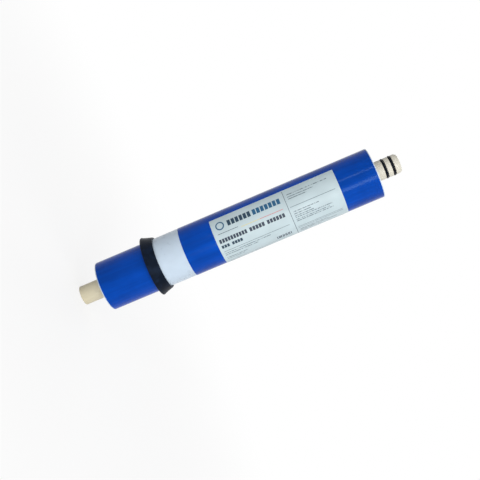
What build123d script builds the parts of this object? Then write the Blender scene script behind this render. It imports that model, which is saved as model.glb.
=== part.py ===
from build123d import *
import math
import os

# Spiral-wound water filter element, standing on the closed end of its centre tube.
# The axis is Z, the feed end is at the bottom and the product end is at the top.
# All lengths are in millimetres and all angles in degrees.

# Centre tube, drilled, turned down at both ends, with two O-ring grooves behind its product end
tube_length = 298.0
tube_body_diameter = 17.6
tube_end_diameter = 17.2
tube_bore = 11.0
tube_projection = 22.0
feed_end_chamfer = 0.4
nose_chamfer = 1.1
nose_length = 2.2
bore_mouth_chamfer = 0.6
hole_diameter = 2.4
hole_margin = 26.0
hole_count = 4
hole_turn = 22.5

# O-rings, stretched over the tube
ring_section = 2.0
ring_outer_diameter = 17.9
ring_flats = 6
ring_side_clearance = 0.3
ring_seat_clearance = 0.05
ring_spacing = 6.7
outer_ring_to_tip = 6.5

# Dished plug in a seat at the feed end of the tube
plug_diameter = 12.2
plug_length = 14.0
plug_clearance = 0.04
plug_inset = 0.8
plug_dish_depth = 9.0
plug_wall = 1.6

# Permeate cloth, once round the tube, with a strip of tape across its butt joint
carrier_thickness = 0.4
core_seat = 0.05
core_joint_turn = 95.0
core_joint_angle = 5.0
core_tape_thickness = 0.1
core_tape_angle = 34.0
core_tape_clearance = 0.03

# Two leaves, each an envelope of membrane glued over permeate cloth, with a feed spacer on each
membrane_thickness = 0.25
spacer_thickness = 1.0
layer_gap = 0.03
leaf_tail_angle = 60.0
smallest_end_angle = 6.0
leaf_inset = 1.1
spacer_inset = 1.7

# Wraps: a white sleeve over the whole roll, and two lengths of blue film over it
roll_diameter = 44.5
film_thickness = 0.2
film_clearance = 0.06
sleeve_thickness = 0.3
pack_clearance = 0.06
film_lap_angle = 16.0
film_lap_turn = 82.0
film_end_inset = 0.7
bare_band_start = 55.0
bare_band_end = 78.9

# Brine seal, a cup that opens towards the feed end
seal_width = 10.0
seal_lip_projection = 4.5
seal_base_clearance = 0.08
seal_sleeve_thickness = 1.2
seal_lip_thickness = 1.1
seal_root_width = 3.0
seal_sleeve_inset = 1.5
seal_film_overlap = 6.5

# Label on the blue film
label_thickness = 0.1
label_clearance = 0.05
label_length = 113.0
label_to_product_end = 33.5
label_first_angle = -138.0
label_angle = 151.0

# Extra length for cuts that pass right through
overrun = 2.0

tube_radius = tube_end_diameter / 2
body_radius = tube_body_diameter / 2
bore_radius = tube_bore / 2
plug_radius = plug_diameter / 2
plug_seat_radius = plug_radius + plug_clearance
plug_seat_depth = plug_inset + plug_length + plug_clearance
roll_bottom = tube_projection
roll_top = tube_length - tube_projection
roll_length = roll_top - roll_bottom
ring_outer_radius = ring_outer_diameter / 2
groove_radius = ring_outer_radius - ring_section - ring_seat_clearance
groove_half_width = ring_section / 2 + ring_side_clearance
outer_ring_z = tube_length - outer_ring_to_tip
inner_ring_z = outer_ring_z - ring_spacing

film_outer_radius = roll_diameter / 2
film_inner_radius = film_outer_radius - film_thickness
sleeve_outer_radius = film_inner_radius - film_clearance
sleeve_inner_radius = sleeve_outer_radius - sleeve_thickness
pack_radius = sleeve_inner_radius - pack_clearance

# One leaf and its spacer, from the tube outwards
leaf_thickness = carrier_thickness + 2 * membrane_thickness
spacer_offset = leaf_thickness + layer_gap
winding_step = spacer_offset + spacer_thickness + layer_gap

# Each half turn is an arc about one of two centres, so a layer moves out by one step every half turn
centre_shift = winding_step / 2
core_wrap_radius = body_radius + core_seat + carrier_thickness
first_radius = core_wrap_radius + layer_gap + centre_shift


def revolved(points):
    """Solid of revolution about Z from an outline of (radius, height) points."""
    outline = make_face(Polyline(*points, close=True))
    return revolve(Plane.XZ * outline, axis=Axis.Z)


def half_turn_centre(k):
    """Even half turns lie above the X axis and odd ones below it."""
    return (-centre_shift, 0) if k % 2 == 0 else (centre_shift, 0)


def last_half_turn(outer_offset):
    """Number of whole half turns that fit in the sleeve, and the angle of the last part turn."""
    k = 0
    while first_radius + outer_offset + k * winding_step + centre_shift <= pack_radius:
        k += 1
    radius = first_radius + outer_offset + k * winding_step
    cosine = (radius**2 + centre_shift**2 - pack_radius**2) / (2 * radius * centre_shift)
    angle = math.degrees(math.acos(max(-1, min(1, cosine))))
    return k, angle if angle > smallest_end_angle else 0


def spiral(offset, turns, last_angle):
    """Arcs of one face of a layer, from the X axis beside the tube to its outer end."""
    arcs = []
    for k in range(turns):
        radius = first_radius + offset + k * winding_step
        arcs.append(CenterArc(half_turn_centre(k), radius, 180 * (k % 2), 180))
    if last_angle > 0:
        radius = first_radius + offset + turns * winding_step
        arcs.append(CenterArc(half_turn_centre(turns), radius, 180 * (turns % 2), last_angle))
    return arcs


def layer_faces(offset, thickness):
    """Both faces of a layer and the line across its outer end."""
    turns, last_angle = last_half_turn(offset + thickness)
    near = spiral(offset, turns, last_angle)
    far = spiral(offset + thickness, turns, last_angle)
    return near, far, Line(near[-1] @ 1, far[-1] @ 1)


def standing(outline, inset, turned):
    """Extrude a layer along the roll, set in from both ends, for the leaf on either side."""
    face = Pos(0, 0, roll_bottom + inset) * outline
    sheet = extrude(face, amount=roll_length - 2 * inset)
    return Rot(0, 0, 180) * sheet if turned else sheet


def strip(inner_radius, thickness, first_angle, arc):
    """Outline of a strip that lies round the axis."""
    near = CenterArc((0, 0), inner_radius, first_angle, arc)
    far = CenterArc((0, 0), inner_radius + thickness, first_angle, arc)
    return make_face([near, far, Line(near @ 0, far @ 0), Line(near @ 1, far @ 1)])


def make_leaf(turned):
    """Membrane leaf, whose cloth runs on at the inner edge and back round the tube."""
    near, far, end = layer_faces(0, leaf_thickness)
    inner = core_wrap_radius + layer_gap
    tail_near = CenterArc((0, 0), inner, -leaf_tail_angle, leaf_tail_angle)
    tail_far = CenterArc((0, 0), inner + carrier_thickness, -leaf_tail_angle, leaf_tail_angle)
    tail_end = Line(tail_near @ 0, tail_far @ 0)
    step = Line(tail_far @ 1, far[0] @ 0)
    outline = make_face([*near, *far, end, tail_near, tail_far, tail_end, step])
    return standing(outline, leaf_inset, turned)


def make_spacer(turned):
    """Feed spacer that lies on the outer face of a leaf."""
    near, far, end = layer_faces(spacer_offset, spacer_thickness)
    outline = make_face([*near, *far, end, Line(near[0] @ 0, far[0] @ 0)])
    return standing(outline, spacer_inset, turned)


def make_core_wrap():
    """Permeate cloth round the tube, butted edge to edge over the drilled rows."""
    first = core_joint_turn + core_joint_angle / 2
    outline = strip(body_radius + core_seat, carrier_thickness, first, 360 - core_joint_angle)
    return standing(outline, leaf_inset, False)


def make_core_tape():
    """Tape along the joint of the core wrap."""
    first = core_joint_turn - core_tape_angle / 2
    inner = core_wrap_radius + core_tape_clearance
    outline = strip(inner, core_tape_thickness, first, core_tape_angle)
    return standing(outline, leaf_inset, False)


def make_tube():
    """Centre tube: turned ends, two grooves, and cross-drilled rows inside the roll."""
    points = [
        (bore_radius, plug_seat_depth),
        (plug_seat_radius, plug_seat_depth),
        (plug_seat_radius, 0),
        (tube_radius - feed_end_chamfer, 0),
        (tube_radius, feed_end_chamfer),
        (tube_radius, roll_bottom),
        (body_radius, roll_bottom),
        (body_radius, roll_top),
        (tube_radius, roll_top),
    ]
    for z in (inner_ring_z, outer_ring_z):
        points += [
            (tube_radius, z - groove_half_width),
            (groove_radius, z - groove_half_width),
            (groove_radius, z + groove_half_width),
            (tube_radius, z + groove_half_width),
        ]
    points += [
        (tube_radius, tube_length - nose_length),
        (tube_radius - nose_chamfer, tube_length),
        (bore_radius + bore_mouth_chamfer, tube_length),
        (bore_radius, tube_length - bore_mouth_chamfer),
    ]
    tube = revolved(points)
    pitch = (roll_length - 2 * hole_margin) / (hole_count - 1)
    upright = (Align.CENTER, Align.CENTER, Align.MIN)
    drill = Rot(0, 90, 0) * Cylinder(hole_diameter / 2, body_radius + overrun, align=upright)
    for i in range(hole_count):
        z = roll_bottom + hole_margin + i * pitch
        tube -= Pos(0, 0, z) * Rot(0, 0, hole_turn + 90 * i) * drill
    return tube


def make_plug():
    """Plug against the shoulder at the feed end of the bore, dished towards the outside."""
    points = [
        (0, plug_inset + plug_dish_depth),
        (plug_radius - plug_wall, plug_inset + plug_dish_depth),
        (plug_radius - plug_wall, plug_inset),
        (plug_radius, plug_inset),
        (plug_radius, plug_inset + plug_length),
        (0, plug_inset + plug_length),
    ]
    return revolved(points)


def make_ring(z):
    """O-ring in its groove, with a section of short flats."""
    section = RegularPolygon(ring_section / 2, ring_flats, major_radius=False, rotation=180 / ring_flats)
    middle = ring_outer_radius - ring_section / 2
    return revolve(Plane.XZ * Pos(middle, z) * section, axis=Axis.Z)


def wrap(inner_radius, thickness, bottom, top, lap_angle):
    """Film or sleeve once round the roll, with its outer edge lapped over the start."""
    outline = Circle(inner_radius + thickness) - Circle(inner_radius)
    if lap_angle > 0:
        outline += strip(inner_radius + thickness / 2, 1.5 * thickness, film_lap_turn, lap_angle)
    return extrude(Pos(0, 0, bottom) * outline, amount=top - bottom)


def make_brine_seal():
    """Rubber cup seal: a sleeve on the roll and a lip that flares towards the feed end."""
    inner = film_outer_radius + seal_base_clearance
    outer = inner + seal_sleeve_thickness
    lip = film_outer_radius + seal_lip_projection
    top = roll_bottom + bare_band_start
    bottom = top - seal_width
    root = top - seal_root_width
    points = [
        (inner, bottom + seal_sleeve_inset),
        (inner, top),
        (outer, top),
        (lip, bottom),
        (lip - seal_lip_thickness, bottom),
        (outer, root),
        (outer, bottom + seal_sleeve_inset),
    ]
    return revolved(points)


def make_label():
    """Paper label on the film."""
    inner = film_outer_radius + label_clearance
    outline = strip(inner, label_thickness, label_first_angle, label_angle)
    bottom = roll_top - label_to_product_end - label_length
    return extrude(Pos(0, 0, bottom) * outline, amount=label_length)


seal_top = roll_bottom + bare_band_start
film_bottom = roll_bottom + film_end_inset
film_top = roll_top - film_end_inset
feed_film_top = seal_top - seal_width + seal_film_overlap
main_film_bottom = roll_bottom + bare_band_end

parts = {
    "permeate_tube": make_tube(),
    "feed_end_plug": make_plug(),
    "o_ring_inner": make_ring(inner_ring_z),
    "o_ring_outer": make_ring(outer_ring_z),
    "core_wrap": make_core_wrap(),
    "core_tape": make_core_tape(),
    "membrane_leaf_a": make_leaf(False),
    "membrane_leaf_b": make_leaf(True),
    "feed_spacer_a": make_spacer(False),
    "feed_spacer_b": make_spacer(True),
    "roll_sleeve": wrap(sleeve_inner_radius, sleeve_thickness, roll_bottom, roll_top, 0),
    "main_film_wrap": wrap(film_inner_radius, film_thickness, main_film_bottom, film_top, film_lap_angle),
    "feed_film_wrap": wrap(film_inner_radius, film_thickness, film_bottom, feed_film_top, 0),
    "brine_seal": make_brine_seal(),
    "label": make_label(),
}

os.makedirs("parts", exist_ok=True)
for name, solid in parts.items():
    solid.label = name
    export_step(solid, f"parts/{name}.step")
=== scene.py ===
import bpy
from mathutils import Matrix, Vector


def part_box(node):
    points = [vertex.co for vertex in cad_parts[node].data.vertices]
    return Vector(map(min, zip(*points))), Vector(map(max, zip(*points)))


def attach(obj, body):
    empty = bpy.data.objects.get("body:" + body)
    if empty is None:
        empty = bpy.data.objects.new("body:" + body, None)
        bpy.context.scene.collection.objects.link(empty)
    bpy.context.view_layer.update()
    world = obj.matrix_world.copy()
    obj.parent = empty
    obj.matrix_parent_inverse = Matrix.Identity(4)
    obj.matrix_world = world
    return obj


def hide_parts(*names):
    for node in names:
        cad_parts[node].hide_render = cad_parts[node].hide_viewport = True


bl_info = {
    "name": "Spiral-Wound Filter Element",
    "version": (1, 0, 0),
    "blender": (4, 5, 0),
    "location": "3D View > Sidebar > Filter Element",
    "description": "Films, seal, rings, tube, label and finishes of a spiral-wound filter element",
    "category": "Object",
}

import math

import bpy
from bpy.props import FloatProperty, FloatVectorProperty, PointerProperty
from mathutils import Matrix, Vector

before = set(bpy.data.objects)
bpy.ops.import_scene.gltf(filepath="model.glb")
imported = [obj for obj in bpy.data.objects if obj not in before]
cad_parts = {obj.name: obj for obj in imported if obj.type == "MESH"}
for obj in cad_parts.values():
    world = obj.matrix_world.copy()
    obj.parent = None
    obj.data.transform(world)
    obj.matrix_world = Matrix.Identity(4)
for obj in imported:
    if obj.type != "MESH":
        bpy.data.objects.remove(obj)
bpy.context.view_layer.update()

# The element stands on the feed end of its tube, with its axis on Z. Lengths are in metres.
MM = 0.001
BODY = "root"
AXIS = (0.0, 0.0, 1.0)
CENTRE = (0.0, 0.0, 0.0)
TOLERANCE = 0.001 * MM


def heights(node):
    """Lowest and highest height of one of the frame's nodes."""
    low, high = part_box(node)
    return low.z, high.z


# Heights that the frame gives
TUBE_TOP = heights("permeate_tube")[1]
ROLL_BOTTOM, ROLL_TOP = heights("roll_sleeve")
MAIN_FILM_BOTTOM, MAIN_FILM_TOP = heights("main_film_wrap")
FEED_FILM_BOTTOM, FEED_FILM_TOP = heights("feed_film_wrap")
SEAL_BOTTOM, SEAL_TOP = heights("brine_seal")
LABEL_BOTTOM, LABEL_TOP = heights("label")
LEAF_BOTTOM, LEAF_TOP = heights("membrane_leaf_a")
NET_BOTTOM, NET_TOP = heights("feed_spacer_a")
RING_NODES = ("o_ring_inner", "o_ring_outer")
RING_HEIGHTS = [sum(heights(node)) / 2 for node in RING_NODES]

# Tube and plug: radii, heights, and the turn of the first hole in degrees
BORE_RADIUS = 5.5 * MM
SEAT_RADIUS = 6.14 * MM
SEAT_DEPTH = 14.84 * MM
TUBE_END_RADIUS = 8.6 * MM
TUBE_BODY_RADIUS = 8.8 * MM
GROOVE_RADIUS = 6.9 * MM
GROOVE_HALF_WIDTH = 1.3 * MM
NOSE_LENGTH = 2.2 * MM
NOSE_CHAMFER = 1.1 * MM
HOLE_RADIUS = 1.2 * MM
HOLE_HEIGHTS = (48.0 * MM, 115.333 * MM, 182.667 * MM, 250.0 * MM)
FIRST_HOLE_TURN = 22.5
DRILL_OVERRUN = 2 * MM
AGED_HEIGHT = 260 * MM
PLUG_RADIUS = 6.1 * MM
PLUG_BOTTOM = 0.8 * MM
PLUG_TOP = 14.8 * MM
PLUG_FLOOR = 9.8 * MM
PLUG_BORE = 4.5 * MM
GATE_RADIUS = 0.9 * MM
GATE_DEPTH = 0.35 * MM

# Rings
RING_RADIUS = 7.95 * MM
RING_SECTION_RADIUS = 1.0 * MM
PARTING_WIDTH = 0.1 * MM

# Wraps
ROLL_RADIUS = 22.25 * MM
FEED_FILM_RADIUS = 22.2 * MM
SLEEVE_INNER_RADIUS = 21.69 * MM
SLEEVE_OUTER_RADIUS = 21.99 * MM
SLEEVE_EDGE = 0.06 * MM
LAP_TURN = 82.0
LAP_CLEARANCE = 0.005 * MM
RIPPLE_SIZE = 13 * MM

# Seal, as radii, heights over its bottom and depths under its top
SEAL_INNER_RADIUS = 22.33 * MM
SEAL_SLEEVE_RADIUS = 23.53 * MM
SEAL_SLEEVE_HEIGHT = 1.5 * MM
SEAL_ROOT_DEPTH = 3.0 * MM
SEAL_WAIST_RADIUS = 24.85 * MM
SEAL_WAIST_DEPTH = 4.4 * MM
SEAL_BRIM_RADIUS = 26.3 * MM
SEAL_BRIM_HEIGHT = 1.5 * MM
SEAL_LIP_RADIUS = 26.75 * MM
SEAL_LIP_HEIGHT = 0.9 * MM
SEAL_LIP_WALL = 1.1 * MM

# Label: outer radius, two turns in degrees, and the length and the lengthways step of its faces in mm
LABEL_RADIUS = 22.4 * MM
LABEL_FIRST_TURN = -138
LABEL_TURNS = 151
LABEL_LENGTH_MM = round((LABEL_TOP - LABEL_BOTTOM) / MM)
LABEL_STEP_MM = 3

# Winding of the two leaves and their spacers, as the frame has it
PACK_RADIUS = 21.63 * MM
LEAF_THICKNESS = 0.9 * MM
NET_OFFSET = 0.93 * MM
NET_THICKNESS = 1.0 * MM
WINDING_STEP = 1.96 * MM
CENTRE_SHIFT = 0.98 * MM
FIRST_RADIUS = 10.26 * MM
INNER_STEPS = 4

# Strand ends: how deep in the spacer they start, and where in its thickness the two layers lie
NET_END_DEPTH = 0.2 * MM
STRAND_SHARES = (0.28, 0.72)

# Leaf: where its cloth fades out from the middle, and how far from the ends the glue is full, and gone
CLOTH_EDGE = (0.17 * MM, 0.23 * MM)
GLUE_FULL = 14 * MM
GLUE_GONE = 22 * MM

# Net and knit: the radius at which each pattern runs true, and its waves in radians a metre
SLEEVE_NET_WAVES = 1750
NET_RADIUS = 15 * MM
NET_WAVES = 1700
CORE_RADIUS = 9 * MM
RIB_WAVES = 9500
LOOP_WAVES = 7800

# Camera, from the fit of the photograph's outline
CAMERA_PLACE = (-0.01028, -0.6725, 0.19904)
CAMERA_TURNS = (78.712, -66.765, 8.806)
CAMERA_LENS = 58.17
CAMERA_SENSOR = 36
CAMERA_CLIP = (0.01, 50)

# Direction of the strongest sky light, beside the camera
SKY_FRONT = (0.72, -0.68, 0.05)

# Lamps: a place, and a width and height
KEY_LAMP = ((0.42, -1.23, 0.4), (0.3, 1.1))
EDGE_LAMP = ((-0.58, -1.16, 0.35), (0.08, 1.0))
BACK_LAMP = ((0.02, 1.1, 0.95), (1.0, 0.6))

# Floor: colour, distances between which it fades to white, and how white it is where the element stands
FLOOR_COLOUR = (0.86, 0.86, 0.86)
FLOOR_FADE = (0.1, 0.7)
FLOOR_WHITE_SHARE = 0.78

# Colours that belong to one material alone. Those of a gloss tint its reflections.
# Lighter blue: wear on the films' cut ends, and a painted highlight along the lap's edge
FILM_WEAR_AND_LAP_HIGHLIGHT = (0.07, 0.18, 0.48)
FILM_GLOSS = (0.45, 0.72, 1.0)
RUBBER_GLOSS = (0.55, 0.72, 1.0)
MEMBRANE = (0.84, 0.85, 0.84)
LEAF_CLOTH = (0.74, 0.72, 0.66)
GLUE = (0.66, 0.50, 0.26)
SPACER = (0.52, 0.60, 0.66)
# Painted shade: the dark of the net's gaps stands in for the depth of its open cells
PAINTED_GAP_SHADE = (0.05, 0.06, 0.07)
STRAND = (0.60, 0.68, 0.73)
CORE_CLOTH = (0.82, 0.82, 0.79)
CORE_TAPE = (0.62, 0.66, 0.68)
WARM_INK = (0.62, 0.50, 0.10)
RED_INK = (0.50, 0.07, 0.06)

# How much of a rule's ink is the text's, on paper
RULE_INK_SHARE = 0.8

# The label's marks: start and end along the label in mm, start and end across it in degrees, and ink
DIVIDER = 66.5
RULES = [
    (DIVIDER, DIVIDER + 0.5, 3, 148, "rule"),
    (3.5, 22, 39, 40, "text"),
    (24.5, 41.5, 42, 43, "warm"),
    (41.5, 62.5, 42, 43, "red"),
    (2.5, 62.5, 80, 81, "rule"),
    (2.5, 62.5, 117, 118, "rule"),
    (68.5, 109, 45, 46, "rule"),
    (68.5, 109, 96, 97, "rule"),
    (68.5, 109, 100, 101, "rule"),
    (68.5, 109, 131, 139, "accent"),
]
# Lines of small print: start and end along the label, and start across it
FINE_LINE_HEIGHT = 2
FINE_LINES = [
    (2.5, 44.5, 85),
    (2.5, 32.5, 90),
    (2.5, 21.5, 100),
    (2.5, 18.5, 105),
    (2.5, 38.5, 123),
    (2.5, 50.5, 128),
    (2.5, 45.5, 133),
    (69.5, 105.5, 15),
    (69.5, 92.5, 21),
    (69.5, 86.5, 26),
    (69.5, 92.5, 56),
    (69.5, 84.5, 61),
    (69.5, 86.5, 66),
    (69.5, 102.5, 70),
    (69.5, 99.5, 75),
    (69.5, 102.5, 79),
    (69.5, 95.5, 106),
    (69.5, 102.5, 111),
    (69.5, 88.5, 116),
]
# Rows of plain blocks that stand for words: start, end, first, last, block, gap and ink
WORDS = [
    (14.5, 35.5, 16, 29, 3.1, 0.8, "headline"),
    (37.5, 62.5, 16, 29, 3.1, 0.8, "accent"),
    (2.5, 27.5, 51, 60, 2.1, 0.55, "text"),
    (30, 43.5, 51, 60, 2.1, 0.55, "text"),
    (46, 62, 51, 60, 2.1, 0.55, "text"),
    (2.5, 9.5, 65, 72, 1.8, 0.5, "headline"),
    (12, 21.5, 65, 72, 1.8, 0.5, "headline"),
]
# A row of upright strokes
STROKE_WIDTH = 0.7
STROKE_TURNS = (101, 111)
STROKE_STARTS = (48.5, 50, 51, 52, 53.5, 54.5, 56, 57, 58.5, 59.5, 61)


def word_blocks(start, end, first, last, block, gap, ink):
    """A row of even blocks that fills the length of one word."""
    count = round((end - start + gap) / (block + gap))
    pitch = (end - start + gap) / count
    return [(start + i * pitch, start + (i + 1) * pitch - gap, first, last, ink) for i in range(count)]


MARKS = list(RULES)
MARKS += [(start, end, first, first + FINE_LINE_HEIGHT, "fine") for start, end, first in FINE_LINES]
MARKS += [(start, start + STROKE_WIDTH, *STROKE_TURNS, "text") for start in STROKE_STARTS]
for word in WORDS:
    MARKS += word_blocks(*word)
INKS = ("paper", "headline", "accent", "text", "rule", "fine", "warm", "red")

# The plain hoop in the label's corner
HOOP_PLACE = 7.7 * MM
HOOP_TURN = 22.0
HOOP_RADIUS = 3.3 * MM
HOOP_WIDTH = 1.1 * MM
HOOP_SOFT_EDGE = 0.05 * MM


# Settings that a user would change

# What all colours have in common, and all small lengths
COLOUR = {"subtype": "COLOR", "size": 3, "min": 0, "max": 1}
LENGTH = {"unit": "LENGTH", "precision": 5}


class TubeSettings(bpy.types.PropertyGroup):
    """Centre tube and its plug."""

    edge: FloatProperty(
        name="Edge Rounding",
        description="Rounding of the tube's turned edges",
        default=0.18 * MM,
        **LENGTH,
    )
    colour: FloatVectorProperty(
        name="Tube Colour",
        description="Off-white of the moulded tube",
        default=(0.58, 0.56, 0.49),
        **COLOUR,
    )
    aged_colour: FloatVectorProperty(
        name="Feed End Tint",
        description="Yellower tint of the tube and plug at the feed end",
        default=(0.55, 0.50, 0.36),
        **COLOUR,
    )


class RingSettings(bpy.types.PropertyGroup):
    """O-rings."""

    parting: FloatProperty(
        name="Parting Line",
        description="Height of the mould's parting line round each ring",
        default=0.03 * MM,
        **LENGTH,
    )
    colour: FloatVectorProperty(
        name="Ring Colour",
        description="Black rubber of the rings",
        default=(0.004, 0.005, 0.008),
        **COLOUR,
    )


class WrapSettings(bpy.types.PropertyGroup):
    """White sleeve and blue films."""

    film_thickness: FloatProperty(
        name="Film Thickness",
        description="Thickness of the blue film",
        default=0.1 * MM,
        **LENGTH,
    )
    lap_angle: FloatProperty(
        name="Lap",
        description="How far the film laps over its start",
        default=math.radians(16),
        subtype="ANGLE",
    )
    ripple: FloatProperty(
        name="Ripple",
        description="Height of the shallow ripples in the film",
        default=0.09 * MM,
        **LENGTH,
    )
    film_colour: FloatVectorProperty(
        name="Film Colour",
        description="Blue of the film",
        default=(0.0, 0.046, 0.325),
        **COLOUR,
    )
    sleeve_colour: FloatVectorProperty(
        name="Sleeve Colour",
        description="Cool white of the sleeve under the films",
        default=(0.46, 0.55, 0.645),
        **COLOUR,
    )


class SealSettings(bpy.types.PropertyGroup):
    """Brine seal."""

    rounding: FloatProperty(
        name="Lip Rounding",
        description="Rounding of the lip's two edges",
        default=0.35 * MM,
        **LENGTH,
    )
    colour: FloatVectorProperty(
        name="Seal Colour",
        description="Blue-black rubber of the seal",
        default=(0.003, 0.006, 0.014),
        **COLOUR,
    )


class LabelSettings(bpy.types.PropertyGroup):
    """Label and its inks."""

    thickness: FloatProperty(
        name="Thickness",
        description="Thickness of the label's paper",
        default=0.1 * MM,
        **LENGTH,
    )
    paper: FloatVectorProperty(
        name="Paper",
        description="Pale cool grey of the paper",
        default=(0.43, 0.52, 0.55),
        **COLOUR,
    )
    headline: FloatVectorProperty(
        name="Headline Ink",
        description="Dark blue-grey of the first headline bar",
        default=(0.006, 0.030, 0.058),
        **COLOUR,
    )
    accent: FloatVectorProperty(
        name="Accent Ink",
        description="Teal of the second headline bar and the lower field",
        default=(0.006, 0.075, 0.165),
        **COLOUR,
    )
    text: FloatVectorProperty(
        name="Text Ink",
        description="Navy of the heavy lines",
        default=(0.004, 0.016, 0.040),
        **COLOUR,
    )


class NetSettings(bpy.types.PropertyGroup):
    """Strand ends of the feed spacers."""

    strand: FloatProperty(
        name="Strand",
        description="Diameter of a strand of the net",
        default=0.46 * MM,
        **LENGTH,
    )
    pitch: FloatProperty(
        name="Pitch",
        description="Distance between strands along the winding",
        default=2.5 * MM,
        **LENGTH,
    )
    slant: FloatProperty(
        name="Slant",
        description="Angle between a strand and the roll's axis",
        default=math.radians(38),
        subtype="ANGLE",
    )


class StageSettings(bpy.types.PropertyGroup):
    """Floor and lamps."""

    floor_size: FloatProperty(
        name="Floor Size",
        description="Side of the square floor",
        default=6.0,
        unit="LENGTH",
    )
    key_power: FloatProperty(
        name="Key Lamp",
        description="Power of the long lamp beside the camera",
        default=8.0,
        unit="POWER",
    )
    edge_power: FloatProperty(
        name="Edge Lamp",
        description="Power of the narrow lamp that draws a streak along the film",
        default=2.6,
        unit="POWER",
    )
    back_power: FloatProperty(
        name="Back Lamp",
        description="Power of the wide lamp behind and above the element",
        default=5.0,
        unit="POWER",
    )
    front_strength: FloatProperty(
        name="Front Light",
        description="Strength of the sky light from the front",
        default=1.9,
    )
    top_strength: FloatProperty(
        name="Top Light",
        description="Strength of the sky light from above",
        default=0.6,
    )
    world_strength: FloatProperty(
        name="Sky Light",
        description="Strength of the even light from all round",
        default=0.05,
    )


SETTINGS = {
    "element_tube": TubeSettings,
    "element_rings": RingSettings,
    "element_wraps": WrapSettings,
    "element_seal": SealSettings,
    "element_label": LabelSettings,
    "element_net": NetSettings,
    "element_stage": StageSettings,
}


# Modelling helpers


def clear_selection():
    """Object mode, with nothing selected."""
    if bpy.context.mode != "OBJECT":
        bpy.ops.object.mode_set(mode="OBJECT")
    bpy.ops.object.select_all(action="DESELECT")


def work_on(piece):
    """Make one piece the only one selected, and the active one."""
    clear_selection()
    piece.select_set(True)
    bpy.context.view_layer.objects.active = piece


def choose(piece, kind, wanted):
    """In edit mode, select the corners, edges or faces that a test picks out."""
    bpy.ops.mesh.select_mode(type=kind)
    bpy.ops.mesh.select_all(action="DESELECT")
    bpy.ops.object.mode_set(mode="OBJECT")
    kinds = {"VERT": piece.data.vertices, "EDGE": piece.data.edges, "FACE": piece.data.polygons}
    for item in kinds[kind]:
        item.select = wanted(item)
    bpy.ops.object.mode_set(mode="EDIT")


def is_at(corner, radius, height):
    """Whether a corner of an outline in the XZ plane is at a radius and a height."""
    return (corner.co - Vector((radius, 0, height))).length < TOLERANCE


def outline(name, corners, closed=True):
    """Outline in the XZ plane from (radius, height, rounding) corners, each rounded by a bevel."""
    clear_selection()
    bpy.ops.mesh.primitive_circle_add(vertices=len(corners), radius=MM, fill_type="NOTHING")
    piece = bpy.context.object
    piece.name = piece.data.name = name
    for vertex, (radius, height, _) in zip(piece.data.vertices, corners):
        vertex.co = (radius, 0, height)
    ends = {0, len(corners) - 1}
    bpy.ops.object.mode_set(mode="EDIT")
    if not closed:
        choose(piece, "EDGE", lambda edge: set(edge.vertices) == ends)
        bpy.ops.mesh.delete(type="EDGE")
    for radius, height, rounding in corners:
        if rounding > 0:
            choose(piece, "VERT", lambda corner: is_at(corner, radius, height))
            bpy.ops.mesh.bevel(offset=rounding, segments=4, affect="VERTICES")
    return piece


def upright_line(name, radius, turn, bottom, top, cuts):
    """Line parallel to the axis at a radius and a turn in degrees, cut into lengths, left in edit mode."""
    clear_selection()
    bpy.ops.mesh.primitive_plane_add(size=MM)
    piece = bpy.context.object
    piece.name = piece.data.name = name
    bpy.ops.object.mode_set(mode="EDIT")
    choose(piece, "VERT", lambda corner: corner.co.x > 0)
    bpy.ops.mesh.delete(type="VERT")
    bpy.ops.object.mode_set(mode="OBJECT")
    place = Matrix.Rotation(math.radians(turn), 3, "Z") @ Vector((radius, 0, 0))
    for vertex, height in zip(piece.data.vertices, (bottom, top)):
        vertex.co = (place.x, place.y, height)
    bpy.ops.object.mode_set(mode="EDIT")
    bpy.ops.mesh.select_all(action="SELECT")
    if cuts:
        bpy.ops.mesh.subdivide(number_cuts=cuts)
        bpy.ops.mesh.select_all(action="SELECT")
    return piece


def spin_on(turn, steps):
    """Spin the selection onwards about the axis by a turn in degrees, anticlockwise from above."""
    bpy.ops.mesh.spin(steps=steps, angle=-math.radians(turn), center=CENTRE, axis=AXIS)


def turned(name, corners, steps=128, closed=True):
    """Piece made by spinning an outline once about the axis."""
    piece = outline(name, corners, closed)
    bpy.ops.mesh.select_all(action="SELECT")
    spin_on(360, steps)
    bpy.ops.mesh.select_all(action="SELECT")
    bpy.ops.mesh.remove_doubles(threshold=TOLERANCE)
    bpy.ops.mesh.normals_make_consistent(inside=False)
    bpy.ops.object.mode_set(mode="OBJECT")
    return piece


def face_outwards(piece):
    """Turn an open sheet's faces away from the axis."""
    first = piece.data.polygons[0]
    if first.normal.xy.dot(first.center.xy) < 0:
        bpy.ops.object.mode_set(mode="EDIT")
        bpy.ops.mesh.select_all(action="SELECT")
        bpy.ops.mesh.flip_normals()
        bpy.ops.object.mode_set(mode="OBJECT")


def finish_with(piece, kind, name, **values):
    """Add a modifier to a piece and apply it."""
    work_on(piece)
    modifier = piece.modifiers.new(name, kind)
    for key, value in values.items():
        setattr(modifier, key, value)
    bpy.ops.object.modifier_apply(modifier=modifier.name)


def ripple(piece, height):
    """Sink a sheet's surface in shallow ripples, the same ones for every layer on the roll."""
    clouds = bpy.data.textures.get("ripples") or bpy.data.textures.new("ripples", "CLOUDS")
    clouds.noise_scale = RIPPLE_SIZE
    finish_with(
        piece, "DISPLACE", "ripple", texture=clouds, texture_coords="LOCAL", mid_level=1.0, strength=height
    )


def smooth(piece, degrees=35):
    """Shade a piece smooth except across sharp edges."""
    work_on(piece)
    bpy.ops.object.shade_smooth_by_angle(angle=math.radians(degrees))


def hand_over(piece, slot, *nodes):
    """A finished piece rides on the element, in the place of the frame's own nodes."""
    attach(piece, BODY)
    if nodes:
        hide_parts(*nodes)


# Finish helpers


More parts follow.
